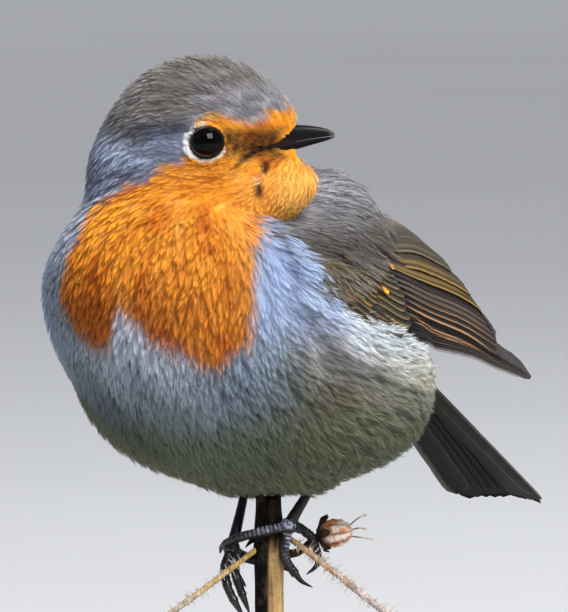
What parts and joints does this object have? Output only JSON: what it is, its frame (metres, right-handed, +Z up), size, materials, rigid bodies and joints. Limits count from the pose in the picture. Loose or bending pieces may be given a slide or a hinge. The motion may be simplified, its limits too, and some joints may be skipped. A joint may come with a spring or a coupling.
{
  "type": "european robin",
  "caption": "Life-size songbird with orange face and breast and fluffed plumage, head turned, gripping a cut stem carried by a rod on a flat round stand.",
  "frame": {"origin": "centre of the stand base's flat underside", "axes": "+Z up; the bird's trunk faces -Y and its left side is towards +X, with the head turned to its left"},
  "size_m": [0.08, 0.1142, 0.1496],
  "materials": {
    "olive": "matt feathers, olive brown",
    "orange": "matt feathers, rich orange",
    "belly": "soft matt feathers, grey to off white",
    "flight": "satin flight feathers, dark brown with buff edges",
    "tail": "satin flight feathers, grey brown",
    "bill": "polished horn, black brown",
    "eye": "clear gloss over near black",
    "leg": "scaled skin, dark brown, satin",
    "claw": "horn, blackish, satin",
    "stem": "dry bristly plant stem, straw to grey brown",
    "husk": "dry papery husk, tan",
    "base": "stained wood, satin varnish",
    "rod": "satin brass"
  },
  "bodies": {
    "root": {"head": "orange", "neck": "orange", "trunk": "belly", "rump": "olive", "thigh_left": "belly", "thigh_right": "belly", "wing_left_coverts": "olive", "wing_left_secondaries": "flight", "wing_left_primaries": "flight", "wing_right_coverts": "olive", "wing_right_secondaries": "flight", "wing_right_primaries": "flight", "tail": "tail", "bill_upper": "bill", "bill_lower": "bill", "eye_right": "eye", "eye_left": "eye", "foot_left": "leg", "tarsus_left": "leg", "claw_left_inner": "claw", "claw_left_middle": "claw", "claw_left_outer": "claw", "claw_left_hind": "claw", "foot_right": "leg", "tarsus_right": "leg", "claw_right_inner": "claw", "claw_right_middle": "claw", "claw_right_outer": "claw", "claw_right_hind": "claw", "perch_stem": "stem", "perch_twig_left": "stem", "perch_twig_right": "stem", "perch_husk": "husk", "stand_base": "base", "stand_rod": "rod"}
  },
  "joints": []
}
